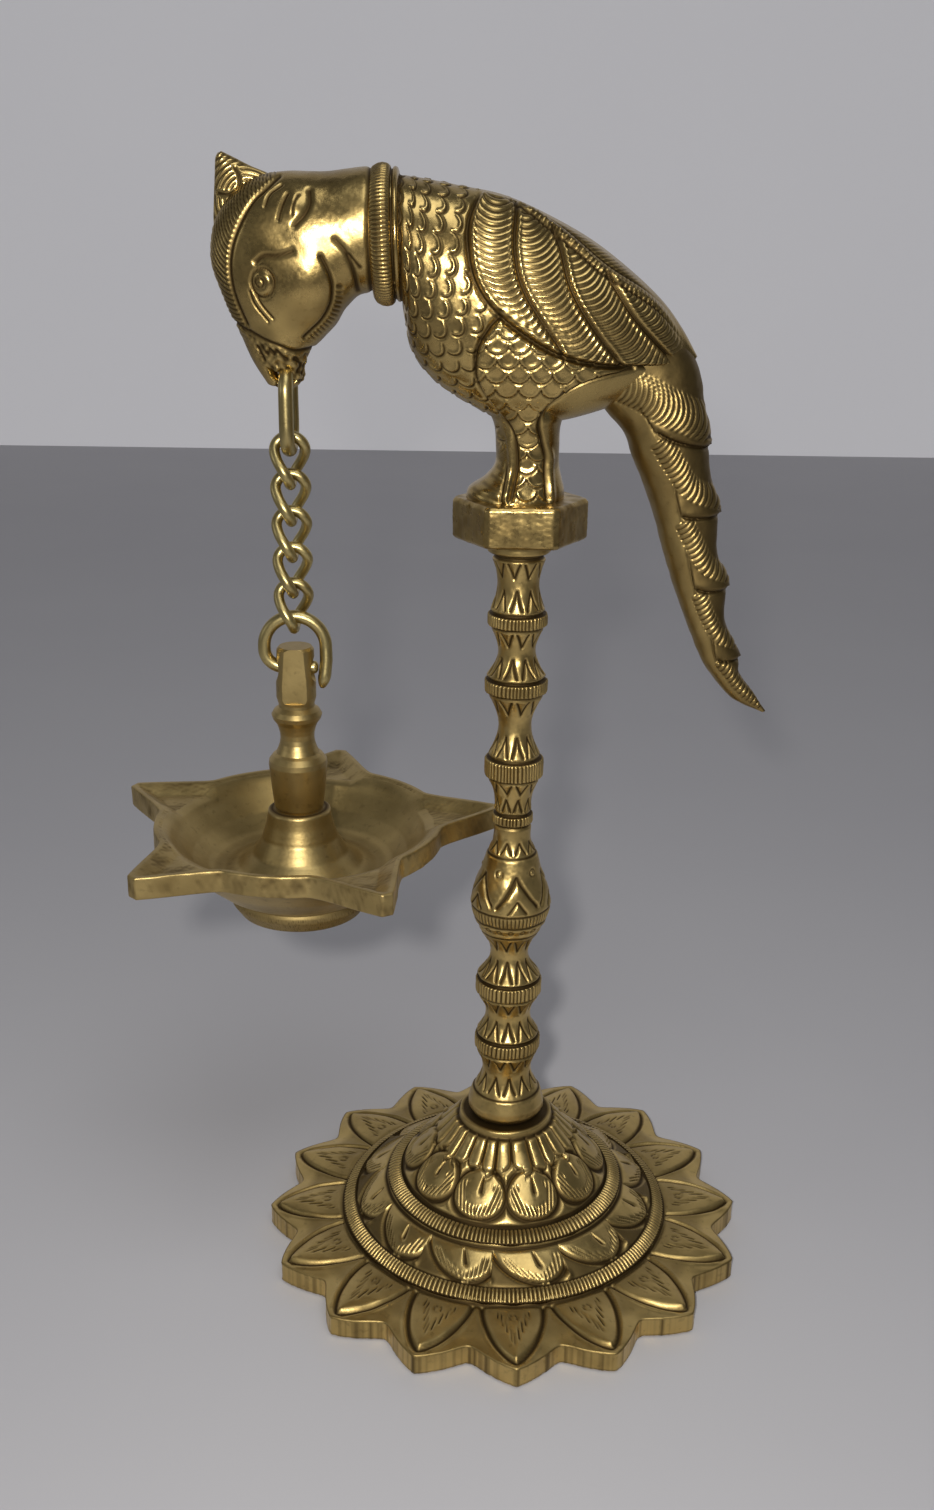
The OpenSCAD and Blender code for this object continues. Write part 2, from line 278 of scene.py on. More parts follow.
def breast_scales(relief, u, v, where):
    """Half-round punch marks in staggered rows. Their free ends point back, and down on the belly."""
    radius, pitch_u, pitch_v = 2.45, 4.3, 4.9
    for column in range(9):
        for row in range(-7, 8):
            middle = (row + 0.5 * (column % 2)) * pitch_v
            lean = 0.05 + 0.95 * float(soft(-middle, -6, 28))
            du, dv = u - 2.6 - column * pitch_u, v - middle
            ahead = du * math.cos(lean) - dv * math.sin(lean)
            far = np.hypot(du, dv)
            front = soft(ahead, -0.2, 0.7) * where
            relief.ridge(radius - far - 0.45, 0.5, 0.24, front)
            relief.cut(far - radius, 0.30, 0.34, front)


# ---- materials ----

def shader(name):
    mat = bpy.data.materials.new(name)
    mat.use_nodes = True
    return mat, mat.node_tree.nodes, mat.node_tree.links


def ramp(nodes, low, high):
    node = nodes.new("ShaderNodeMapRange")
    node.inputs["From Min"].default_value = low
    node.inputs["From Max"].default_value = high
    return node


def noise(nodes, links, where, scale, detail=4.0):
    node = nodes.new("ShaderNodeTexNoise")
    node.inputs["Scale"].default_value = scale
    node.inputs["Detail"].default_value = detail
    links.new(where, node.inputs["Vector"])
    return node


def mix_colour(nodes, links, factor, a, b):
    node = nodes.new("ShaderNodeMix")
    node.data_type = "RGBA"
    links.new(factor, node.inputs["Factor"])
    for socket, value in ((node.inputs[6], a), (node.inputs[7], b)):
        if isinstance(value, tuple):
            socket.default_value = (*value, 1)
        else:
            links.new(value, socket)
    return node.outputs[2]


def brass(name, bright, stain, patina_and_shade_colour, rough, grain, grain_depth):
    """Worn brass: stains, dark patina in the cuts and painted shade, both from the mesh attribute, and a fine
    grain of casting and polishing marks.
    """
    mat, nodes, links = shader(name)
    bsdf = nodes["Principled BSDF"]
    bsdf.inputs["Metallic"].default_value = 1.0
    place = nodes.new("ShaderNodeTexCoord").outputs["Object"]
    patina_and_shade = nodes.new("ShaderNodeAttribute")
    patina_and_shade.attribute_name = "patina_and_shade"
    clouds = noise(nodes, links, place, 90.0, 6.0)
    spots = noise(nodes, links, place, 520.0, 3.0)
    stained = ramp(nodes, 0.42, 0.72)
    links.new(clouds.outputs["Fac"], stained.inputs["Value"])
    body = mix_colour(nodes, links, stained.outputs["Result"], bright, stain)
    spotted = ramp(nodes, 0.60, 0.78)
    links.new(spots.outputs["Fac"], spotted.inputs["Value"])
    faint = nodes.new("ShaderNodeMath")
    faint.operation = "MULTIPLY"
    faint.inputs[1].default_value = 0.35
    links.new(spotted.outputs["Result"], faint.inputs[0])
    body = mix_colour(nodes, links, faint.outputs[0], body, patina_and_shade_colour)
    # Mixes in the dark colour where the mesh asks for it: patina in the cuts, and painted shade.
    deep = ramp(nodes, 0.12, 0.85)
    links.new(patina_and_shade.outputs["Fac"], deep.inputs["Value"])
    body = mix_colour(nodes, links, deep.outputs["Result"], body, patina_and_shade_colour)
    links.new(body, bsdf.inputs["Base Color"])

    marks = noise(nodes, links, place, grain, 3.0)
    gloss = nodes.new("ShaderNodeMapRange")
    gloss.inputs["To Min"].default_value = rough - 0.07
    gloss.inputs["To Max"].default_value = rough + 0.10
    links.new(marks.outputs["Fac"], gloss.inputs["Value"])
    duller = nodes.new("ShaderNodeMath")
    duller.operation = "MULTIPLY_ADD"
    duller.inputs[1].default_value = 0.35
    links.new(patina_and_shade.outputs["Fac"], duller.inputs[0])
    links.new(gloss.outputs["Result"], duller.inputs[2])
    links.new(duller.outputs[0], bsdf.inputs["Roughness"])
    bump = nodes.new("ShaderNodeBump")
    bump.inputs["Strength"].default_value = 0.5
    bump.inputs["Distance"].default_value = grain_depth
    links.new(marks.outputs["Fac"], bump.inputs["Height"])
    links.new(bump.outputs["Normal"], bsdf.inputs["Normal"])
    return mat


def paper(name, glow):
    """Pale paper, with an even glow for the lit studio wall."""
    mat, nodes, links = shader(name)
    bsdf = nodes["Principled BSDF"]
    place = nodes.new("ShaderNodeTexCoord").outputs["Object"]
    clouds = noise(nodes, links, place, 5.0, 3.0)
    pale, paler = (0.55, 0.54, 0.56), (0.60, 0.59, 0.60)
    colour = mix_colour(nodes, links, clouds.outputs["Fac"], pale, paler)
    links.new(colour, bsdf.inputs["Base Color"])
    bsdf.inputs["Roughness"].default_value = 0.75
    bsdf.inputs["Specular IOR Level"].default_value = 0.2
    bsdf.inputs["Emission Color"].default_value = (0.98, 0.97, 1.0, 1.0)
    bsdf.inputs["Emission Strength"].default_value = glow
    return mat


# Colour of the patina in the cuts, also used for the painted shade on the stand and the bird.
CUT_AND_SHADE = (0.075, 0.048, 0.018)
LAMP_CUT = (0.08, 0.05, 0.02)
CHASED = brass("brass_chased", (0.62, 0.45, 0.17), (0.44, 0.31, 0.11), CUT_AND_SHADE, 0.30, 900.0, 0.00005)
# The bird's brass is a darker copy of the chased brass: painted shade that dims the whole bird.
SHADED_BIRD_BRASS = brass("brass_bird_shaded", (0.50, 0.36, 0.135), (0.36, 0.25, 0.09), CUT_AND_SHADE, 0.24, 1100.0, 0.00006)
LAMP = brass("brass_satin", (0.50, 0.37, 0.15), (0.36, 0.26, 0.10), LAMP_CUT, 0.40, 1300.0, 0.00005)
WIRE = brass("brass_wire", (0.52, 0.42, 0.18), (0.40, 0.31, 0.13), (0.08, 0.055, 0.02), 0.34, 1500.0, 0.00003)
DARK_CUT = (0.06, 0.04, 0.02)
DARK = brass("brass_hardware", (0.34, 0.25, 0.11), (0.24, 0.17, 0.07), DARK_CUT, 0.45, 1200.0, 0.00005)


def use(obj, body, node, material):
    """Gives a piece its material and its body, and hides the CAD node that it stands for."""
    obj.data.materials.append(material)
    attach(obj, body)
    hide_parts(node)


def chased(name, points, r, node, material, loop=False):
    """A chased piece of the stand, with its relief."""
    use(solid(name, r.on(points, loop), r.dark, loop), "stand", node, material)


# ---- base ----

PETALS = 16
PETAL_TURN = math.radians(2)
NOTCH = 8.5
EDGE_H = 6.3


def lobes(turn):
    """How far the edge of the base stands outside its notches, for each direction."""
    pitch = TAU / PETALS
    off = np.abs((turn - FRONT - PETAL_TURN + pitch / 2) % pitch - pitch / 2) / (pitch / 2)
    off = off - 0.10 * np.exp((off - 1) / 0.10)
    return NOTCH * (0.985 - off ** 1.2)


def egg(turn, radius, count, first, middle, half, length):
    """Places on a ring of egg-shaped petals: across and along the petal, and the distance outside it."""
    pitch = TAU / count
    off = (turn - FRONT - first + pitch / 2) % pitch - pitch / 2
    across, along = radius * np.sin(off), radius * np.cos(off)
    out = np.hypot(across / half, (along - middle) / length)
    return across, along, (out - 1) * length


def slit(r, across, along, start, stop, where):
    """A short dark cut shaped like a drop, which is widest at its outer end."""
    t = np.clip((along - start) / (stop - start), 0, 1)
    r.cut(np.hypot(across, along - start - t * (stop - start)) / (0.35 + 0.65 * t), 0.62, 0.6, where)


def leaf(turn, radius, count, first, inner, tip, half, power=0.75, lean=0.0):
    """The same for pointed petals, and the half width at that place."""
    pitch = TAU / count
    off = (turn - FRONT - first + pitch / 2) % pitch - pitch / 2
    off = off - lean * (radius - inner) / (tip - inner)
    across, along = radius * np.sin(off), radius * np.cos(off)
    t = np.clip((along - inner) / (tip - inner), 0, 0.999)
    width = half * (1 - t ** 2) ** power
    slope = half * power * 2 * t / (tip - inner) * (1 - t ** 2) ** (power - 1)
    flanks = (np.abs(across) - width) / np.hypot(1, slope)
    gap = np.where(along > tip, np.hypot(across, along - tip), flanks)
    return across, along, gap, width


def lotus_base():
    """The chased base, from the seat of the pillar out over the lobed edge and back under the hollow."""
    top = [(5.1, 39.95, 0), (13.3, PILLAR_Z, 0), (13.7, 38.5, 0), (16, 35.6, 0), (19, 32.4, 0), (23, 28.6, 0),
           (27, 24.6, 0), (30.3, 21.0, 0), (30.7, 19.4, 0), (34.6, 17.9, 0), (35.4, 16.6, 0), (39, 14.4, 0),
           (44.2, 11.1, 0), (47.9, 8.9, 0), (48.4, 8.0, 0), (55, 7.6, 5), (61.5, EDGE_H, 8.5)]
    wall = [(61.5, EDGE_H, 8.5), (61.5, 0.5, 8.5), (61.1, 0, 8.5)]
    under = [(58, 0, 0), (57, 2.5, 0), (48, 4, 0), (44, 7.5, 0), (36, 12, 0), (31, 15.6, 0), (26, 20.6, 0),
             (20, 26.6, 0), (13.4, 33.4, 0), (13.2, 36, 0), (5.1, 36, 0)]
    top = corners(top, 0.5)[:-1]
    rows = np.vstack([top, corners(wall, 0.7)[:-1], corners(under, 3.0), [(5.1, 38.0, 0)]])
    rows[:, 2] /= NOTCH
    points = turned(rows, 960, lobes)
    radius = np.hypot(points[..., 0], points[..., 1])
    turn = np.arctan2(points[..., 1], points[..., 0])
    upper = (np.arange(len(rows)) < len(top))[:, None] * np.ones(radius.shape)
    r = Relief(points)

    across, along, gap, width = leaf(turn, radius, PETALS, PETAL_TURN, 48.5, 67.7, 8.3)
    inside = soft(-gap, 0, 0.8) * upper * soft(radius, 48.4, 49.2)
    r.swell(inside * 0.7 * np.clip(1 - (across / np.maximum(width, 1)) ** 2, 0, 1))
    r.cut(gap, 0.62, 0.8, upper * soft(radius, 48.3, 49))
    rim = upper * soft(radius, 49, 50) * (1 - soft(radius, 66, 67.5))
    r.ridge(gap - 1.1, 0.5, 0.25, rim)
    r.cut(np.hypot(across, along - 53) - 1.05, 0.30, 0.30, inside, 0.8)
    vee = np.abs(across) + 0.40 * (along - 50)
    r.mill(across / 1.05, 0.45, inside * within(vee, 3.7, 5.4, 0.2) * within(along, 50.5, 62.5), 1.0, 3)
    r.shade(upper * 0.40 * soft(gap, 0.4, 1.0) * soft(radius, 49, 50) * (1 - soft(radius, 57, 62)))
    r.shade(upper * inside * (0.16 + 0.22 * (1 - soft(radius, 50, 58))))

    across, along, gap, width = leaf(turn, radius, 12, math.radians(9), 35.2, 43.8, 10.0, 0.55, 0.10)
    ring = upper * within(radius, 35.6, 44.0, 0.3)
    inside = soft(-gap, 0, 0.9) * ring
    r.swell(inside * 0.55 * np.clip(1 - (across / np.maximum(width, 1)) ** 2, 0, 1))
    r.cut(gap, 0.7, 0.9, ring)
    slit(r, across - 1.2, along, 36.4, 39.4, inside)
    ticks = inside * within(gap, -3.3, -1.2, 0.25) * soft(radius, 37.2, 38.0)
    r.mill((across + 0.4 * along * np.sign(across)) / 1.12, 0.45, ticks, 1.0, 3)
    between = egg(turn, radius, 12, math.radians(24), 42.9, 1.0, 1.0)
    r.swell(ring * 0.7 * np.exp(-(between[2] + 1) ** 2 / 0.8))
    r.shade(ring * 0.7 * soft(gap, 0.5, 1.2))

    across, along, gap = egg(turn, radius, 10, math.radians(18), 24.7, 8.0, 5.3)
    ring = upper * within(radius, 19.8, 30.2, 0.3)
    inside = soft(-gap, 0, 0.7) * ring
    r.swell(inside * 0.5 * np.clip(1 - (across / 8.0) ** 2, 0, 1))
    r.cut(gap, 0.6, 0.8, ring)
    slit(r, across - 0.5, along, 21.6, 24.4, inside)
    ticks = inside * within(gap, -2.5, -0.9, 0.2) * soft(radius, 22.5, 23.5)
    r.mill((across + 0.3 * along * np.sign(across)) / 1.08, 0.42, ticks, 1.0, 3)

    beat = turn * 26 / TAU + 0.16 * np.sin(turn * 3 + 1) + 0.10 * np.sin(turn * 7)
    flute = np.abs(beat % 1 - 0.5) * 2
    reach_out = 20.2 + 0.9 * np.sin(np.floor(beat + 0.5) * 2.4) - 1.6 * flute ** 2
    tongue = upper * (1 - soft(radius, reach_out, reach_out + 0.9)) * soft(radius, 13.8, 14.6)
    r.swell(tongue * 0.7 * np.sqrt(np.clip(1 - flute ** 2, 0, 1)))
    r.cut((1 - flute) * 1.9, 0.42, 0.5, tongue, 0.95)
    r.cut(radius - reach_out - 0.6, 0.4, 0.4, upper, 0.8)

    for at in (14.0, 30.4, 35.2, 44.3, 48.3):
        r.cut(radius - at, 0.42, 0.3, upper)
    edge = (rows[:, 1] < EDGE_H - 0.2)[:, None] & (rows[:, 2] > 0.9)[:, None]
    grain = np.random.default_rng(7).normal(size=(1, points.shape[1]))
    filed = 0.8 * grain + 0.5 * np.roll(grain, 1, 1)
    r.swell(edge * (0.05 * filed - 0.1))
    r.shade(edge * np.clip(0.22 + 0.20 * filed, 0, 0.7))
    r.swell(upper * 0.05 * dents(points, 8, 7.0))
    # Darker on the underside of the base.
    r.shade((1 - upper) * (~edge) * 0.55)
    # Painted shade: the recess round the seat of the pillar is made dark.
    r.shade(upper * 0.9 * (1 - soft(radius, 12.0, 13.6)))
    chased("lotus_base_chased", points, r, "lotus_base", CHASED, True)


def milled_ring(name, inner, outer, z_inner, z_outer, lines, crown):
    """A raised band round the base, cut across by fine milling."""
    cols = lines * 8
    sunk = 1.0
    section = [(inner, z_inner - sunk), (inner, z_inner)]
    for t in np.linspace(0.08, 0.92, 7):
        bulge = crown * math.sin(math.pi * t)
        section.append((inner + (outer - inner) * t, z_inner + (z_outer - z_inner) * t + bulge))
    section += [(outer, z_outer), (outer, z_outer - sunk)]
    points = turned(np.array(section, float), cols)
    r = Relief(points)
    turn = directions(cols)
    face = np.zeros((len(section), 1))
    face[2:-2] = 1
    wobble = 0.35 * np.sin(turn * 5 + 1) + 0.25 * np.sin(turn * 11)
    r.mill(turn * lines / TAU + wobble, 0.42, face, 1.0)
    r.shade((1 - face) * 0.9 * np.ones(points.shape[:2]))
    chased(name, points, r, "lotus_base", CHASED, True)


# ---- pillar ----

def waist(z0, r0, z1, r1, rn):
    """A waist between two bands, rn thick half way up."""
    t = np.linspace(0, 1, 11)
    r = r0 + (r1 - r0) * t - ((r0 + r1) / 2 - rn) * np.sin(math.pi * t)
    return list(zip(r, z0 + (z1 - z0) * t))


def band(z0, z1, r, b=0.5):
    """A band of radius r with its edges broken by b."""
    neck = r - b - 0.5
    return [(neck, z0), (r - b, z0 + 0.05), (r, z0 + b), (r, z1 - b), (r - b, z1 - 0.05), (neck, z1)]


BANDS = [(61, 65.6, 9.4, 0.5), (79, 84, 9.4, 0.5), (131, 134.4, 5.6, 0.3), (144.6, 150.6, 8, 0.6),
         (168.4, 172.6, 8.4, 0.5), (186.6, 190.6, 7.9, 0.5)]
WAISTS = [(48.6, 9, 60.4, 8.8, 7), (66.4, 8.9, 78.4, 8.6, 6.3), (84.8, 8.9, 98, 7.8, 5.3),
          (123, 6.6, 130.4, 5.1, 5.2), (135, 5.1, 144, 6.9, 5.2), (151.2, 7, 167.8, 7.3, 4.4),
          (173.2, 7.8, 186, 6.8, 5), (191.2, 7.2, 204.6, 6.9, 5.5)]


def zigzag(turn, radius, z, count, peak, foot, shift=0.0, share=0.72):
    """Distance to a row of chased angles whose points are at height peak and whose feet are at foot."""
    half = math.pi / count
    side = np.abs((turn + shift) % (2 * half) - half) * radius
    wide = half * radius * share
    rise = foot - peak
    gap = np.abs((z - peak) * wide - side * rise) / np.hypot(wide, rise)
    beyond = (side > wide + 0.3) | ((z - peak) / rise > 1.03) | ((z - peak) / rise < -0.05)
    return gap + 4.0 * beyond


def pillar():
    foot = [(9.6, PILLAR_Z), (10.9, 42), (10.9, 44), (10.1, 46.6), (9.8, 47.8)]
    bulb = [(8.7, 99.2), (8.9, 100.6), (10, 102), (10.9, 105.2), (11.3, 107.5), (10.6, 111.3),
            (9.5, 114.4), (8.3, 117.4), (7.5, 120.5), (7.1, 122)]
    profile = [(5, 22), (5, PILLAR_Z)] + foot
    parts = sorted([(w[0], waist(*w)) for w in WAISTS] + [(b[0], band(*b)) for b in BANDS] + [(99.2, bulb)])
    for _, shape in parts:
        profile += shape
    profile += [(6.4, 205.6)] + band(206, PILLAR_TOP, 8.2, 0.4) + [(4, PILLAR_TOP), (4, 216.8)]
    rows = corners(profile, 0.4)
    cols = 312
    points = turned(rows, cols)
    turn = directions(cols)
    z, radius = rows[:, 1:2], rows[:, 0:1]
    r = Relief(points)
    for low, high, size, _ in BANDS:
        face = within(z, low + 0.45, high - 0.45, 0.25)
        lean = 0.006 * math.sin(low) * (z - low)
        count = 48 if size > 6 else 32
        r.mill((turn + lean) * count / TAU + 0.2 * np.sin(turn * 7 + low), 0.46, face, 1.0, 3)
        for at in (low, high):
            r.cut(z - at, 0.45, 0.4, 1.0 + 0 * turn)
    for low, _, high, _, _ in WAISTS:
        tall = min(4.8, (high - low) * 0.36)
        count = 11 if low < 100 else 9
        r.cut(zigzag(turn, radius, z, count, low + tall + 0.8, low + 0.6, low), 0.42, 0.46)
        if low != 123:
            r.cut(zigzag(turn, radius, z, count, high - tall * 0.8 - 0.6, high - 0.4, high), 0.38, 0.38)
    r.cut(zigzag(turn, radius, z, 5, 117.6, 109.2, 0.785, 0.90), 0.60, 0.65)
    r.cut(zigzag(turn, radius, z, 5, 111.4, 107.9, 0.785, 0.38), 0.42, 0.45)
    side = ((turn + 0.785 + math.pi / 5) % (TAU / 5) - math.pi / 5) * radius
    r.cut(np.hypot(side, z - 118.3) - 1.0, 0.28, 0.3, 1.0, 0.8)
    r.ridge(np.hypot(side, z - 118.3), 0.7, 0.25)
    r.mill(turn * 60 / TAU, 0.36, within(z, 103.4, 106.4, 0.25), 1.0, 3)
    side = (turn % (TAU / 18) - math.pi / 18) * radius
    r.cut(np.hypot(side, z - 101.4) - 0.65, 0.26, 0.22, 1.0, 0.8)
    # Painted shade: the foot of the pillar, down in the seat, is made dark.
    r.shade(0.85 * (1 - soft(z, 40.5, 42.5)) + 0 * turn)
    for at in (47.9, 99.0, 103.0, 106.9, 122.6, 205.4, 206.2):
        r.cut(z - at + 0 * turn, 0.4, 0.32)
    r.swell(0.045 * dents(points, 3, 5.0) + 0.012 * dents(points, 4, 1.6))
    r.shade(0.10 + 0.10 * dents(points, 6, 9.0))
    chased("pillar_chased", points, r, "pillar", CHASED)


# ---- bird ----

BIRD = [
    [-63.4, 247.8, -57.6, 246.4, 2.8], [-67, 253.6, -55, 248.2, 4.4], [-70.4, 261.6, -54.2, 250.6, 6.2],
    [-73.8, 269.8, -53.9, 252.6, 8.4], [-75.9, 278, -53.2, 254.8, 10.4], [-74, 287, -51.6, 256.8, 12],
    [-67.5, 294.4, -49, 259.2, 13.2], [-58.5, 297, -46, 262.4, 13.8], [-48, 297.2, -43.4, 266.4, 13.6],
    [-37, 298.4, -38.8, 269.6, 13.6], [-29.5, 296.6, -30.6, 268, 13.8], [-24, 295.8, -27.8, 257, 15],
    [-16, 294.4, -22.4, 249.6, 16.2], [-6.2, 292.6, -13.5, 243.8, 17], [3.4, 288.9, -4, 239.6, 17],
    [15, 283, 7, 239.5, 16], [25, 276, 17, 241.8, 13.5], [33.2, 268.9, 27, 245.5, 9.5],
    [38.5, 262.4, 35, 249.4, 5.5], [42.6, 255.8, 41, 253.8, 1.2]]
TAIL = [
    [35, 263, 20, 243, 9], [42.4, 254.6, 25.4, 237, 9], [45.6, 242, 27.8, 231, 8.6],
    [47.4, 229, 31, 224, 7.8], [50.2, 217.6, 34, 216.2, 7], [50.8, 207.4, 37, 206.8, 6.2],
    [53.6, 199.4, 40.4, 197.2, 5.6],
    [54, 189.4, 44, 188.4, 4.8], [58.2, 179, 48.6, 178.2, 4], [58.8, 174.8, 52.4, 173, 3.2],
    [62.6, 169.8, 57.6, 167.6, 2.2], [66.7, 164.2, 65.6, 163.8, 0.8]]
BEAK_END = 26          # rows of the beak piece, counted from its point
COLLAR_X = -34.0


def bird_rows():
    return spline(BIRD, 0.42)


def neck_row(rows):
    return int(np.argmin(np.abs((rows[:, 0] + rows[:, 2]) / 2 - COLLAR_X)))


BEAK_ROOT = [(-70.5, 262.6), (-67.0, 260.9), (-63.2, 258.9), (-59.5, 257.5), (-56.0, 256.2), (-52.0, 256.6)]


def raw_casting(r, points):
    """Rough unfinished metal below the root of the beak, on its rear half."""
    x, z = points[..., 0], points[..., 2]
    gap, _, side = reach(x, z, line(BEAK_ROOT))
    raw = soft(-gap * side, 0.3, 1.2) * soft(x + 0.5 * (z - 250), -63.6, -61.2) * soft(z, 247.5, 249)
    grain = dents(points, 11, 2.1)
    r.swell((0.17 * grain - 0.15) * raw)
    r.shade(np.clip(0.45 - 0.45 * grain, 0, 1) * raw)


# Width and depth of each chased line on the head, and the places that it runs through.
HEAD_GROOVES = [
    (0.62, 0.60, [(-63.8, 276.9), (-61.8, 278.3), (-58.7, 278.4), (-55.0, 279.4)]),
    (0.36, 0.36, [(-65.6, 270.2), (-64.6, 267.2), (-61.6, 263.4)]),
    (0.36, 0.36, [(-64.0, 269.2), (-62.6, 266.8), (-60.4, 264.2)]),
    (0.50, 0.60, [(-48.4, 278.4), (-46.6, 274.6), (-46.0, 271.1), (-46.8, 267.2), (-49.0, 263.6),
                  (-53.2, 259.6)]),
    (0.60, 0.45, [(-45.2, 282.2), (-42.5, 279.3), (-40.8, 274.7), (-40.2, 270.5)]),
    (0.40, 0.30, [(-41.9, 279.0), (-39.3, 275.9)]),
    (0.40, 0.50, [(-56.1, 292.0), (-57.4, 289.4), (-58.2, 286.4)]),
    (0.65, 0.50, [(-51.1, 292.8), (-50.9, 290.2), (-52.0, 287.6), (-54.4, 285.2)]),
    (0.35, 0.50, [(-61.4, 289.3), (-60.3, 292.0), (-57.6, 294.0)]),
    (0.30, 0.25, [(-53.5, 291.8), (-54.6, 289.4), (-54.9, 287.4)])]


def head():
    """The head with its crest band, eye, brow, cheek and mouth, as far as the collar."""
    rows = bird_rows()
    rows = rows[BEAK_END - 6:neck_row(rows) + 2]
    points = loft(rows, 300)
    x, y, z = np.moveaxis(points, 2, 0)
    flank = soft(np.abs(y), 3.0, 6.0)
    r = Relief(points)

    border = line([(-58.5, 296.0), (-61.4, 293.1), (-64.3, 290.4), (-67.3, 285.8), (-69.3, 281.2),
                   (-70.3, 276.5), (-70.1, 271.5), (-69.0, 267.0), (-67.2, 262.4)])
    gap, run, side = reach(x, z, border)
    crest = (side < 0) * soft(gap, 0.3, 0.8) * soft(-x, 58, 61) * soft(z, 258, 262)
    r.cut(gap, 0.55, 0.6, flank * soft(z, 259, 262))
    r.mill((run + 0.35 * gap + 0.12 * gap ** 2) / 1.15, 0.36, crest, 1.0)
    r.swell(0.25 * crest)

    eye = np.hypot((x + 62.3) / 0.85, (z - 272.2)) - 3.25
    r.swell(flank * 0.5 * soft(-eye, 0, 1.6))
    r.cut(eye, 0.38, 0.45, flank)
    r.cut(np.hypot(x + 63.0, z - 272.3) - 1.0, 0.34, 0.4, flank)
    r.swell(flank * 1.0 * np.exp(-((x + 52.5) ** 2 + (z - 271.5) ** 2) / 46))
    r.swell(flank * 0.7 * np.exp(-(((x + 54.4) / 1.7) ** 2 + ((z - 289.6) / 2.6) ** 2)))
    for width, depth, points_xz in HEAD_GROOVES:
        groove(r, x, z, points_xz, width, depth, flank)
    fringe = line([(-44.4, 271.4), (-45.2, 267.1), (-47.4, 263.2), (-52.1, 259.0)])
    gap, run, _ = reach(x, z, fringe)
    r.mill(run / 1.1, 0.25, flank * np.exp(-(gap / 0.9) ** 4))

    groove(r, x, z, BEAK_ROOT, 0.55, 0.5)
    raw_casting(r, points)
    r.cut(x + 37.2, 0.7, 0.5)
    r.swell(0.022 * dents(points, 12, 7.0) + 0.006 * dents(points, 13, 1.4))
    r.shade(0.10 + 0.12 * dents(points, 14, 12.0))
    chased("bird_head", points, r, "bird", SHADED_BIRD_BRASS)


def crest():
    """The pointed crest on top of the head."""
    stations = [[-74.5, 279, -57, 294.5, 3.4], [-75.2, 285, -61, 296.3, 3.3], [-74.9, 291, -66, 298.2, 2.9],
                [-74.5, 296, -69.4, 299.8, 2.2], [-74.2, 299.6, -71.6, 300.8, 1.5],
                [-73.6, 300.9, -72.7, 301.3, 0.8]]
    points = loft(spline(stations, 0.3), 160, 0.95)
    x, y, z = np.moveaxis(points, 2, 0)
    flank = soft(np.abs(y), 0.3, 1.0)
    r = Relief(points)
    vein = line([(-73.6, 292.0), (-70.8, 291.7), (-68.7, 293.0), (-68.2, 295.5), (-69.3, 297.6)])
    gap = reach(x, z, vein)[0]
    r.cut(gap, 0.4, 0.4, flank)
    r.mill(np.hypot(x + 66.5, z - 290.5) / 1.15, 0.24, flank * soft(gap, 0.6, 1.2))
    chased("bird_crest", points, r, "bird", SHADED_BIRD_BRASS)


def beak():
    """The beak, drilled across for the long link and countersunk on both sides."""
    rows = bird_rows()[:BEAK_END + 4]
    points = loft(rows, 140)
    x, y, z = np.moveaxis(points, 2, 0)
    r = Relief(points)
    raw_casting(r, points)
    ridge = line([(-69.5, 262.0), (-66.6, 255.8), (-63.0, 249.2)])
    r.cut(reach(x, z, ridge)[0] - 2.6, 0.4, 0.3, soft(np.abs(y), 1.5, 3))
    piece = solid("bird_beak", r.on(points), r.dark)
    hole_z, bore, funnel = 251.25, 2.6, 5.8
    half = [(bore, 1.6), (funnel, 5.0), (funnel + 5, 10.2)]
    section = [(a, -b) for a, b in half[::-1]] + half
    drill = turned(np.array(section, float), 64)
    drill = np.stack([drill[..., 0] + HANG_X, drill[..., 2], drill[..., 1] + hole_z], axis=2)
    cutter = solid("drill", drill, np.full(drill.shape[:2], 0.5))
    piece.data = drilled(piece, cutter)
    use(piece, "stand", "bird", SHADED_BIRD_BRASS)


def drilled(piece, cutter):
    """The piece's mesh with the cutter's volume taken out of it."""
    cut = piece.modifiers.new("bore", "BOOLEAN")
    cut.operation = "DIFFERENCE"
    cut.solver = "EXACT"
    cut.object = cutter
    bpy.context.view_layer.update()
    shape = bpy.data.meshes.new_from_object(piece.evaluated_get(bpy.context.evaluated_depsgraph_get()))
    piece.modifiers.remove(cut)
    bpy.data.objects.remove(cutter)
    return shape


def collar():
    """The milled ring round the neck, with a plain flange behind it."""
    split = 1.95
    section = [(12.0, -3.6), (14.6, -3.4), (15.6, -2.7), (16.25, -1.5), (16.45, -0.3), (16.2, 0.9),
               (15.5, 1.7), (14.9, split), (15.3, 2.2), (15.5, 2.7), (15.3, 3.3), (14.4, 3.6), (12.0, 3.7)]
    rows = corners(section, 0.35)
    cols = 570
    points = turned(rows, cols)
    turn = directions(cols)
    r = Relief(points)
    r.mill(turn * 95 / TAU, 0.36, within(rows[:, 1:2], -2.9, 1.4, 0.3) * soft(rows[:, 0:1], 14.5, 15.3))
    r.cut(rows[:, 1:2] - split + 0 * turn, 0.3, 0.2)
    points = r.on(points, True)
    tilt = math.radians(-88)
    px, pz = points[..., 0], points[..., 2]
    points = np.stack([px * math.cos(tilt) + pz * math.sin(tilt) - 33.8, points[..., 1] * 0.97,
                       -px * math.sin(tilt) + pz * math.cos(tilt) + 283], axis=2)
    points[..., 0] = -33.8 - (points[..., 0] + 33.8)
    use(solid("bird_collar", points, r.dark, True), "stand", "bird", SHADED_BIRD_BRASS)


SHOULDER = (-6.0, 301.0)     # the feathers fan out from here


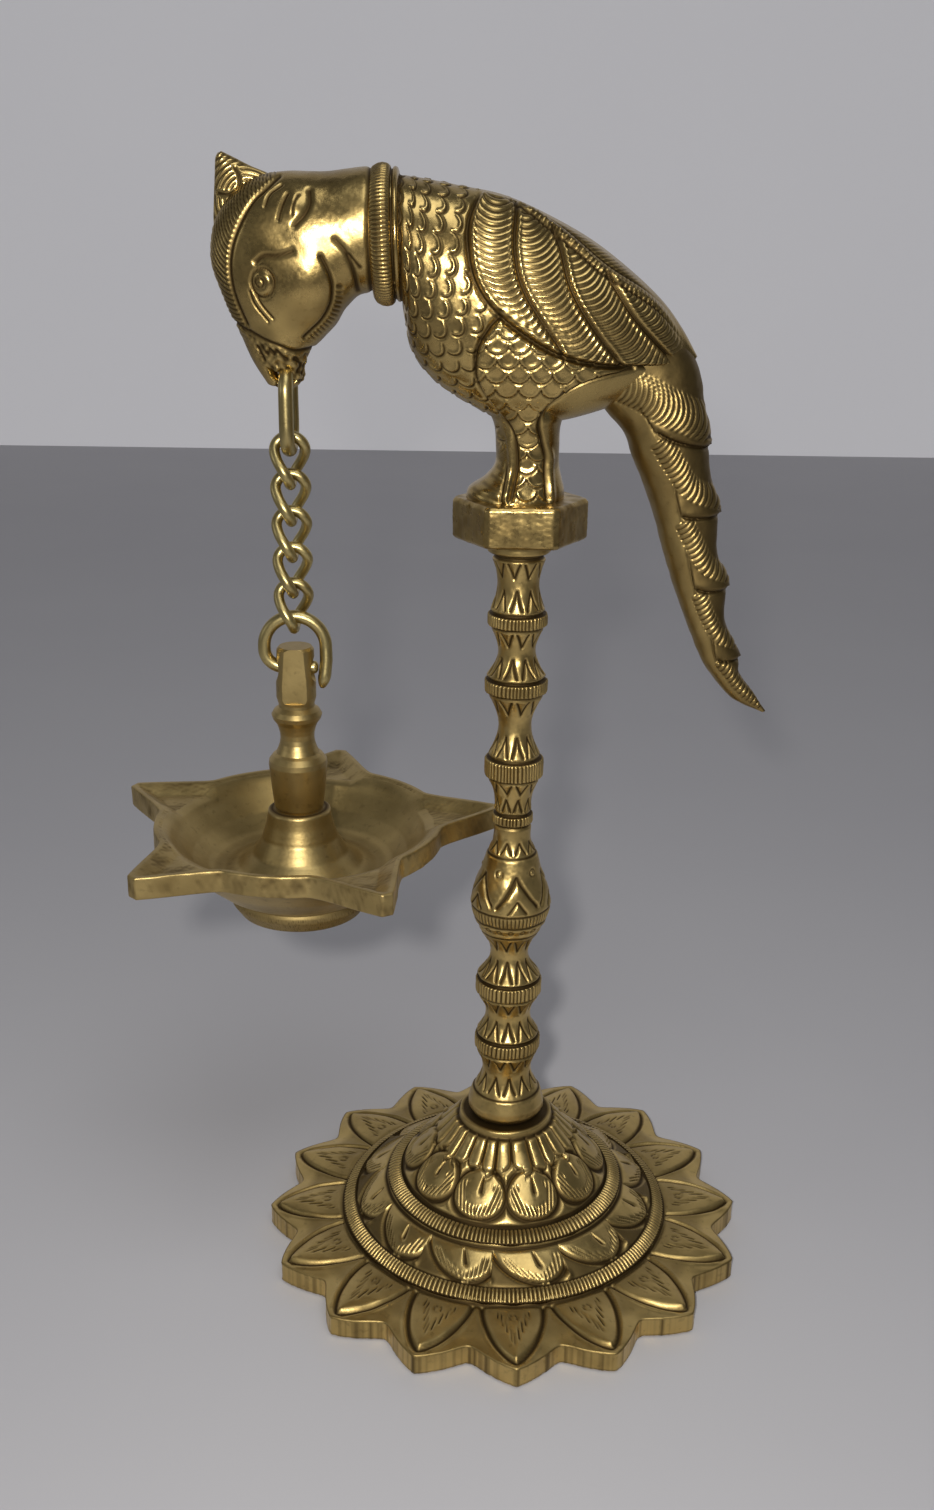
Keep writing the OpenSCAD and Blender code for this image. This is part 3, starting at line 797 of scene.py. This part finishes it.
def feather_ribs(r, x, z, low, high, where, pitch=1.42, bow=2.0):
    """Ribs across the strip between two curves: arcs round the shoulder that sag between the curves."""
    gap_low, _, side_low = reach(x, z, low)
    gap_high, _, side_high = reach(x, z, high)
    share = gap_low / np.maximum(gap_low + gap_high, 1e-6)
    inside = ((side_low > 0) & (side_high < 0)) * where
    along = np.hypot(x - SHOULDER[0], z - SHOULDER[1]) - bow * 4 * share * (1 - share)
    r.swell(inside * 0.75 * np.sin(math.pi * share) ** 0.7)
    r.mill(along / pitch, 0.34, inside * soft(gap_low, 0.6, 1.2) * soft(gap_high, 0.3, 0.7), 0.95, 3)


THIGH_FRONT = [(-4.0, 267.5), (-7.8, 264.4), (-9.8, 261.8), (-11.5, 258.7), (-12.1, 254.0), (-11.4, 250.7),
               (-9.3, 246.9), (-5.6, 242.3), (-2.5, 237.9), (-1.4, 232.7), (-1.4, 228.3), (-2.6, 221.5)]
THIGH_BACK = [(26, 253.6), (18.2, 251.9), (13.5, 250.4), (9.2, 247.8), (5.2, 244.5), (3.6, 240.1),
              (4.4, 236.4), (5.6, 231.9), (5.6, 228.2), (6.2, 221.5)]


def plume(x, z):
    """1 on the feathers of the thigh, between its front and back outlines, and 0 elsewhere."""
    gap_f, _, side_f = reach(x, z, line(THIGH_FRONT))
    gap_b, _, side_b = reach(x, z, line(THIGH_BACK))
    return soft(gap_f * side_f, 0, 0.9) * soft(-gap_b * side_b, 0, 0.9)


def body():
    """The trunk with the folded wing: scales on the breast, ribbed feathers behind the wing's front edge."""
    rows = bird_rows()
    rows = rows[neck_row(rows) - 2:]
    cols = 420
    points = loft(rows, cols)
    x, y, z = np.moveaxis(points, 2, 0)
    r = Relief(points)
    flank = soft(np.abs(y), 3.5, 9.0)

    front = line([(-9.5, 297), (-11.5, 292.8), (-13.8, 287.4), (-14.2, 282.1), (-12.7, 274.4), (-8.7, 268.0),
                  (-0.9, 261.7), (8.0, 257.0), (18.7, 254.6), (28.4, 254.2), (36.0, 253.6), (46, 252.5)])
    a = line([(-3.4, 293), (-3.2, 288.9), (-3.4, 280.0), (-0.8, 270.9), (7.4, 259.0), (9, 255.5)])
    b = line([(4.5, 286.5), (7.2, 280.5), (9.8, 272.0), (15.0, 263.7), (22.8, 254.5), (26, 251.5)])
    c = line([(16.5, 278), (20.4, 271.6), (26.0, 264.3), (34.7, 256.0), (39, 252.5)])
    ridge = line([(-8, 294.5), (-2.0, 290.2), (8.1, 283.2), (18.0, 275.6), (30.5, 268.2), (38.2, 261.5),
                  (44, 255.5)])
    gap, _, side = reach(x, z, front)
    wing = (side > 0) * 1.0
    breast = (1 - wing) * soft(gap, 0.2, 0.9)
    gap_r, run_r, side_r = reach(x, z, ridge)
    under_ridge = wing * (side_r < 0)

    around = np.linalg.norm(np.roll(points, -1, 1) - points, axis=2)
    quarter = cols // 4
    girth = np.cumsum(around, axis=1)
    v = np.abs(girth - girth[:, quarter:quarter + 1])
    v = np.minimum(v, np.abs(girth - girth[:, 3 * quarter:3 * quarter + 1]))
    signed = np.where(np.cos(directions(cols)) > 0, v, -v)
    steps = np.linalg.norm(np.diff(points[:, quarter], axis=0), axis=1)
    u = np.concatenate([[0], np.cumsum(steps)])[:, None]
    leg = plume(x, z)
    breast_scales(r, u, signed, breast * (1 - soft(x, 4, 9)) * (1 - leg))
    scales(r, 270 - z, x + 90, 3.3, 5.2, leg * breast)
    r.swell(1.5 * leg * breast * flank)
    for outline in (THIGH_FRONT, THIGH_BACK):
        groove(r, x, z, outline, 0.6, 0.6, (1 - wing) * flank)

    r.swell(wing * 0.9 * soft(gap, 0, 1.2) * flank)
    r.ridge(gap - 1.0, 0.8, 0.5, wing * flank)
    r.cut(gap, 0.6, 0.7, flank)
    for low, high in ((front, a), (a, b), (b, c), (c, ridge)):
        feather_ribs(r, x, z, low, high, under_ridge * flank)
    for divider in (a, b, c):
        near, _, _ = reach(x, z, divider)
        r.cut(near, 0.5, 0.55, under_ridge)
        r.ridge(near - 0.9, 0.5, 0.28, under_ridge)
    back = wing * (side_r > 0) * soft(gap_r, 0.8, 1.2) * flank
    r.ridge(gap_r, 0.9, 0.6, wing * flank)
    r.mill(run_r / 1.1, 0.25, wing * np.exp(-(gap_r / 0.9) ** 4) * flank)
    r.cut(np.abs(gap_r - 1.3), 0.35, 0.35, wing * flank)
    r.mill((run_r + 1.1 * np.abs(gap_r - 4.0)) / 1.35, 0.26, back)
    r.cut(gap_r - 4.6, 0.4, 0.4, back)
    r.cut(x + 30.2, 0.6, 0.4)
    chased("bird_body_wing", points, r, "bird", SHADED_BIRD_BRASS)


def thigh():
    """The thigh and the leg: rows of shingle feathers down to the feet."""
    stations = [[13, 266, -6, 266, 9], [14.5, 260, -8, 260, 12.6], [14.6, 254, -10, 254, 15.0],
                [14.0, 249.5, -11.4, 249.5, 15.2], [11.4, 244, -9.6, 244, 13.4], [9.6, 239, -7.2, 239, 11.0],
                [9.4, 234, -6.6, 234, 9.6], [9.5, 229, -6.7, 229, 9.1], [10.2, 225.6, -9.2, 225.6, 9.4],
                [10.9, 222.8, -13.2, 222.8, 10.4], [11, 219.5, -14, 219.5, 10.6]]
    rows = spline(stations, 0.4)
    points = loft(rows, 300, 0.92)
    x, y, z = np.moveaxis(points, 2, 0)
    r = Relief(points)
    flank = soft(np.abs(y), 2.5, 4.5)
    gap_f, _, side_f = reach(x, z, line(THIGH_FRONT))
    gap_b, _, side_b = reach(x, z, line(THIGH_BACK))
    ahead = (side_f < 0) * flank
    behind = (side_b > 0) * flank
    leg = plume(x, z) * flank
    scales(r, 270 - z, x + 90, 3.3, 5.2, leg * soft(z, 220.5, 222))
    r.swell(0.5 * leg * (1 - soft(z, 238, 243)))
    high = soft(z, 240, 245)
    r.swell(-2.6 * high * np.maximum(ahead * soft(gap_f, 0.1, 1.4), behind * soft(gap_b, 0.1, 1.4)))
    r.cut(gap_f, 0.5, 0.5, flank)
    r.cut(gap_b, 0.6, 0.6, flank)
    r.ridge(gap_b - 1.5, 0.7, 0.6, behind * (1 - soft(z, 231, 236)))
    r.ridge(gap_f - 1.5, 0.7, 0.6, ahead * (1 - soft(z, 234, 240)))
    r.cut(gap_f - 2.6, 0.4, 0.35, ahead * (1 - soft(z, 228, 231)), 0.9)
    belly = ahead * soft(gap_f, 2.0, 3.0) * soft(z, 231, 235) * (1 - high)
    scales(r, 270 - z + 0.3 * x, x + 92, 3.4, 4.6, belly)
    r.mill((z + 0.4 * x) / 2.6, 0.16, ahead * soft(gap_f, 2.2, 3.0) * (1 - soft(z, 229, 231)), 0.5)
    chased("bird_thigh", points, r, "bird", SHADED_BIRD_BRASS)


def tail():
    """The long tail: five ribbed segments that step over each other, with a smooth inner edge."""
    rows = spline(TAIL, 0.4)
    points = loft(rows, 220)
    x, y, z = np.moveaxis(points, 2, 0)
    r = Relief(points)
    flank = soft(np.abs(y), 0.3, 1.2)
    smooth = line([(17, 256), (20.6, 252.2), (27.0, 245.7), (33.6, 236.2), (36.6, 228.9), (40.6, 215.2),
                   (45.0, 197.9), (46.6, 194.3), (50.3, 185.5), (53.3, 176.8), (65.5, 165.1)])
    gap, _, side = reach(x, z, smooth)
    outer = (side > 0) * 1.0
    cuts = [[(31.2, 238.9), (39, 235.6), (50, 233.6)], [(38.6, 217.8), (44, 216.8), (54, 217.3)],
            [(44.4, 198.6), (49, 197.6), (57, 198.4)], [(50.4, 180.0), (54, 178.8), (61, 179.2)]]
    unset = 20.0
    last = np.full(x.shape, unset)
    for cut in cuts:
        near, _, where = reach(x, z, line(cut))
        above = where > 0
        last = np.where(above & (last == unset), near, last)
        r.cut(near, 0.65, 0.8, outer * flank * soft(gap, 0.0, 0.8))
    r.ridge(last, 4.5, 1.0, outer)
    plumes = [[(17.5, 252.0), (26.9, 248.4), (35.0, 244.6), (46.5, 239.6)],
              [(33.6, 236.4), (37.6, 230.3), (42.4, 224.4), (51.5, 220.8)],
              [(40.8, 216.0), (44.6, 209.1), (48.4, 204.2), (55.0, 201.4)],
              [(46.0, 197.2), (48.8, 191.0), (52.2, 186.0), (58.5, 183.2)],
              [(52.6, 179.0), (56.5, 174.5), (60.1, 170.4), (65.6, 166.2)]]
    taken = np.zeros(x.shape)
    for curve, half in zip(plumes, (4.6, 2.9, 2.5, 2.1, 1.7)):
        near, run, where = reach(x, z, line(curve))
        strip = (1 - soft(near, half - 0.3, half + 0.3)) * flank * (taken < 0.1)
        strip = strip * soft(run, 0.0, 0.6)
        taken = np.maximum(taken, strip)
        r.swell(0.45 * strip * (1 - (np.minimum(near, half) / half) ** 2))
        r.mill((run + 0.10 * near ** 2 + 0.25 * near * where) / 1.38, 0.34, strip, 0.95, 3)
    # Painted shade: the whole tail is made darker, and the outer side outside the feather strips darker
    # still.
    r.shade(0.30 * outer * (1 - taken) + 0.34)
    r.swell(0.04 * dents(points, 15, 5.0))
    r.cut(gap, 0.35, 0.2, flank * (1 - taken), 0.6)
    chased("bird_tail", points, r, "bird", SHADED_BIRD_BRASS)


def perch():
    """The perch, a turned disc that is filed to six flats and left rough."""
    top, disc_r, flat_r = 220.4, 17.3, 15.35
    outline = [(4.1, 218.3, 0), (4.1, PILLAR_TOP, 0), (16.6, PILLAR_TOP, 1), (disc_r, PILLAR_TOP + 0.7, 1),
               (disc_r, top - 0.8, 1), (16.5, top, 1), (9.0, top + 0.1, 0), (3.0, top + 0.1, 0)]
    rows = corners(outline, 0.4)

    def flats(turn):
        half = math.pi / 6
        off = (turn - FRONT + half) % (2 * half) - half
        return np.minimum(0, flat_r / np.cos(off) - disc_r)

    points = turned(rows, 360, flats)
    r = Relief(points)
    r.swell(0.035 * dents(points, 5, 6.0) + 0.018 * dents(points, 9, 1.6) - 0.06)
    r.shade(0.20 + 0.10 * dents(points, 10, 4.0))
    chased("bird_perch", points, r, "bird", SHADED_BIRD_BRASS)


# ---- chain ----

def tube(path, radius, sides=20, closed=True):
    """A round wire along a path, with one frame carried along it so that it doesn't twist."""
    path = np.array(path, float)
    if closed:
        ahead = np.roll(path, -1, 0) - np.roll(path, 1, 0)
    else:
        ahead = np.gradient(path, axis=0)
    ahead /= np.linalg.norm(ahead, axis=1, keepdims=True)
    across = np.cross(ahead[0], [0.31, 0.87, 0.39])
    frames = []
    for t in ahead:
        across = across - t * across.dot(t)
        across /= np.linalg.norm(across)
        frames.append(across)
    side = np.array(frames)
    if closed:
        drift = math.atan2(np.cross(side[-1], side[0]).dot(ahead[0]), side[-1].dot(side[0]))
        turn = np.linspace(0, drift, len(path))[:, None]
        side = side * np.cos(turn) + np.cross(ahead, side) * np.sin(turn)
    up = np.cross(ahead, side)
    k = directions(sides)[..., None]
    size = np.asarray(radius, float).reshape(-1, 1, 1) * np.ones((len(path), 1, 1))
    return path[:, None] + size * (side[:, None] * np.cos(k) + up[:, None] * np.sin(k))


def uneven(points, seed, amount):
    """Small soft dents, the same each run."""
    rng = np.random.default_rng(seed)
    along = np.arange(points.shape[0])[:, None] * TAU / points.shape[0]
    around = np.arange(points.shape[1])[None, :] * TAU / points.shape[1]
    total = np.zeros(points.shape[:2])
    for _ in range(5):
        a, b = rng.integers(1, 5, 2)
        total += np.sin(a * along + rng.uniform(0, 6) + b * around)
    return total / 5 * amount


WIRE_GAP = 0.1
BEAK_WIRE, LINK_WIRE, RING_WIRE = 1.85, 1.4, 1.7
LINK_LEN, LINK_HALF = 12.3, 3.95
BEAK_TOP, BEAK_LOW = 251.6, 231.65
LINK_DROP = LINK_LEN - 2 * LINK_WIRE - WIRE_GAP


def beak_link():
    half, low, high = 6.0, BEAK_LOW + 6.0, BEAK_TOP - 6.0
    arc = np.linspace(0, math.pi, 33)
    top = np.stack([half * np.cos(arc), high + half * np.sin(arc)], axis=1)
    bottom = np.stack([-half * np.cos(arc), low - half * np.sin(arc)], axis=1)
    flat = even(np.vstack([top, bottom, top[:1]]), 0.6)[:-1]
    points = tube([(HANG_X, p[0], p[1]) for p in flat], BEAK_WIRE)
    r = Relief(points)
    r.swell(uneven(points, 21, 0.035))
    piece = solid("beak_link_wire", r.on(points, True), r.dark, True)
    use(piece, "long_link", "beak_link", WIRE)


def chain_link(i):
    """A twisted link: an oval whose lower end is turned a quarter round the upper."""
    top = BEAK_LOW + BEAK_WIRE + LINK_WIRE + WIRE_GAP - (i - 1) * LINK_DROP
    middle = top - LINK_LEN / 2
    side = LINK_LEN / 2 - LINK_HALF
    arc = np.linspace(0, math.pi, 25)
    upper = np.stack([LINK_HALF * np.cos(arc), side + LINK_HALF * np.sin(arc)], axis=1)
    flat = even(np.vstack([upper, -upper, upper[:1]]), 0.45)[:-1]
    turn = np.radians(45) * (1 - np.sin(math.pi * flat[:, 1] / LINK_LEN))
    path = np.stack([flat[:, 0] * np.cos(turn), flat[:, 0] * np.sin(turn), flat[:, 1]], axis=1)
    path += [HANG_X, 0, middle]
    points = tube(path, LINK_WIRE - 0.01)
    r = Relief(points)
    r.swell(-np.abs(uneven(points, 30 + i, 0.03)))
    piece = solid(f"chain_link_wire_{i}", r.on(points, True), r.dark, True)
    use(piece, f"link_{i}", f"chain_link_{i}", WIRE)


def lamp_ring():
    """The bent ring: half a circle, a bend into the stem's eye, and a free end on the other side."""
    ring_r, corner, seat, mid = 8.1, 5.0, 174.5, 180.2
    arc = np.linspace(0, math.pi, 41)
    circle = [(ring_r * math.cos(t), 0, mid + ring_r * math.sin(t)) for t in arc]
    bend = [(-ring_r + corner * (1 - math.cos(t)), 0, seat + corner - corner * math.sin(t))
            for t in np.linspace(0.05, math.pi / 2, 16)]
    free_end = [(7.0, -1.2, mid - 11.0), (7.8, -0.9, mid - 7.5), (8.2, -0.4, mid - 3.6)]
    path = free_end + circle + bend + [(0, 0, seat), (6.0, 0, seat)]
    path = even(np.array(path, float), 0.5) + [HANG_X, 0, 0]
    size = np.full(len(path), RING_WIRE - 0.01)
    size[:6] *= [0.30, 0.55, 0.70, 0.82, 0.91, 0.97]
    size[-2:] *= [0.94, 0.55]
    points = tube(path, size, 24, False)
    r = Relief(points)
    use(solid("lamp_ring_wire", r.on(points), r.dark), "ring", "lamp_ring", WIRE)


# ---- lamp ----

SPOUTS = 5
SPOUT_TURN = math.radians(10.9)


def star(turn, round_r, tip):
    """Radius of the spouted outline: hollow flanks run out to blunt tips."""
    pitch = TAU / SPOUTS
    away = np.abs((turn - SPOUT_TURN + pitch / 2) % pitch - pitch / 2) / (pitch / 2)
    return round_r + (tip - round_r) * np.clip(1.08 - 1.9 * away, 0, 1) ** 1.6


def lamp_bowl():
    """The bowl: a turned dish and foot, a star-shaped rim with shallow spouts, and a cone for the stem."""
    cols = 900
    turn = directions(cols)[0]
    outer = star(turn, 39.5, 55.55)
    rim, lip, dish_r, dish_z = 131.5, 36.6, 36.2, 125.5
    below = corners([(2, 112.5), (14, 112.5), (15.4, 104.9), (17, 104.9), (19.4, 108.4), (19.4, 110),
                     (18.8, 110.6), (23, 113), (29, 118), (34, 123), (dish_r, dish_z)], 0.6)
    inside = corners([(34.6, 128.2), (33.4, 126.6), (29.5, 122.2), (25, 118.8), (21, 117.4), (17, 118.6),
                      (13, 122), (10.3, 126.4), (9, 131), (8.5, 134.2), (8, 134.6), (3.2, 134.6)], 0.6)
    rows = [(np.full(cols, a), np.full(cols, b)) for a, b in below]
    for t in np.linspace(0.08, 1, 14):
        rows.append((dish_r + (outer - 0.35 - dish_r) * t, np.full(cols, dish_z)))
    edge = [(0.1, 125.7), (0, 126.0), (0, 127.5), (0, 129), (0, 130.5), (0, 131.0), (0.12, 131.3), (0.4, rim)]
    for back, z in edge:
        rows.append((outer - back, np.full(cols, z)))
    outline = np.stack([outer * np.cos(turn), outer * np.sin(turn)], axis=1)[::5]
    outline = np.vstack([outline, outline[:1]])
    for t in np.linspace(0.04, 1, 26):
        flat = outer - 0.4 + (lip - outer + 0.4) * t
        inward = reach(flat * np.cos(turn), flat * np.sin(turn), outline)[0]
        rows.append((flat, rim - np.minimum(2.6, 0.50 * np.maximum(inward - 1.3, 0) ** 1.15)))
    rows.append((np.full(cols, lip - 0.7), np.minimum(rows[-1][1] - 0.35, 130.6)))
    rows += [(np.full(cols, a), np.full(cols, b)) for a, b in inside]
    radius, z = np.moveaxis(np.array(rows), 1, 0)
    points = np.stack([radius * np.cos(turn) + HANG_X, radius * np.sin(turn), z], axis=2)
    r = Relief(points)
    r.shade(0.35 * within(z, 103, 111.2, 0.3))
    side = within(z, 125.6, 131.4, 0.2) * (radius > 37)
    r.shade(side * np.clip(0.18 + 0.15 * dents(points, 18, 7.0) + 0.10 * dents(points, 19, 1.6), 0, 0.8))
    r.swell(0.05 * side * dents(points, 20, 6.0) - 0.05 * side)
    speckle = np.random.default_rng(29).normal(size=z.shape)
    r.shade(np.clip(0.25 + 0.25 * speckle, 0, 0.9) * within(z, 104, 110, 0.4) * (radius > 14))
    r.shade(0.35 * within(z, 117, 118.3, 0.5) * (radius < 24))
    r.shade(0.9 * np.exp(-((radius - 7.4) / 0.9) ** 2) * (z > 134.3))
    rng = np.random.default_rng(17)
    rings = np.repeat(rng.normal(size=(len(rows), 1)), cols, axis=1)
    r.swell(0.012 * rings * (radius < 37))
    use(solid("lamp_bowl_cast", r.on(points), r.dark), "lamp", "lamp_bowl", LAMP)


def dress_cad_nodes():
    """The CAD nodes that keep their shape get their finish here."""
    for node, material in (("lamp_stem", LAMP), ("base_washer", DARK), ("base_nut", DARK)):
        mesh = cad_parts[node].data
        mesh.materials.clear()
        mesh.materials.append(material)


# ---- stage, light and camera ----

def sheet(name, corners_xyz, material):
    """One flat face of the room."""
    mesh = bpy.data.meshes.new(name)
    mesh.from_pydata(corners_xyz, [], [(0, 1, 2, 3)])
    mesh.materials.append(material)
    obj = bpy.data.objects.new(name, mesh)
    bpy.context.scene.collection.objects.link(obj)


def backdrop():
    """A wide pale floor and a lit wall at the far end of the room."""
    side, front, back, top = 3.0, -3.0, 1.5, 3.0
    floor = [(-side, front, 0), (side, front, 0), (side, back, 0), (-side, back, 0)]
    wall = [(-side, back, 0), (side, back, 0), (side, back, top), (-side, back, top)]
    sheet("floor", floor, paper("pale_paper", 0.0))
    sheet("wall", wall, paper("lit_paper", 0.30))


def area_light(name, place, target, size, power, colour=(1, 1, 1)):
    data = bpy.data.lights.new(name, "AREA")
    data.shape = "DISK"
    data.size = size
    data.energy = power
    data.color = colour
    obj = bpy.data.objects.new(name, data)
    obj.location = place
    obj.rotation_euler = (Vector(target) - Vector(place)).to_track_quat("-Z", "Y").to_euler()
    bpy.context.scene.collection.objects.link(obj)


def lights():
    middle = (0.0, 0.0, 0.16)
    area_light("key", (-0.043, -0.440, 0.338), middle, 0.022, 1.55, (1.0, 0.98, 0.95))
    area_light("ceiling", (0.15, -0.45, 1.2), middle, 0.7, 2.8, (0.95, 0.97, 1.0))
    area_light("left_window", (-1.0, -0.25, 0.45), middle, 0.5, 0.45, (0.95, 0.97, 1.0))
    world = bpy.data.worlds.new("room")
    world.use_nodes = True
    world.node_tree.nodes["Background"].inputs["Color"].default_value = (0.10, 0.102, 0.11, 1)
    world.node_tree.nodes["Background"].inputs["Strength"].default_value = 1.0
    bpy.context.scene.world = world


def camera():
    data = bpy.data.cameras.new("camera")
    data.lens = 36.39
    data.sensor_width = 36.0
    obj = bpy.data.objects.new("camera", data)
    bpy.context.scene.collection.objects.link(obj)
    look = Matrix.Rotation(math.radians(69.972), 4, "X") @ Matrix.Rotation(math.radians(0.779), 4, "Z")
    obj.matrix_world = Matrix.Translation((-0.01274, -0.38724, 0.29149)) @ look
    data.clip_start = 0.01
    bpy.context.scene.camera = obj


camera()
lights()
backdrop()
bpy.context.scene.view_settings.view_transform = "Standard"
lotus_base()
milled_ring("base_band_outer", 44.5, 47.9, 11.25, 9.2, 245, 0.35)
milled_ring("base_band_inner", 30.7, 34.65, 20.1, 18.3, 172, 0.40)
pillar()
head()
crest()
beak()
collar()
body()
thigh()
tail()
perch()
beak_link()
for number in range(1, 6):
    chain_link(number)
lamp_ring()
lamp_bowl()
dress_cad_nodes()
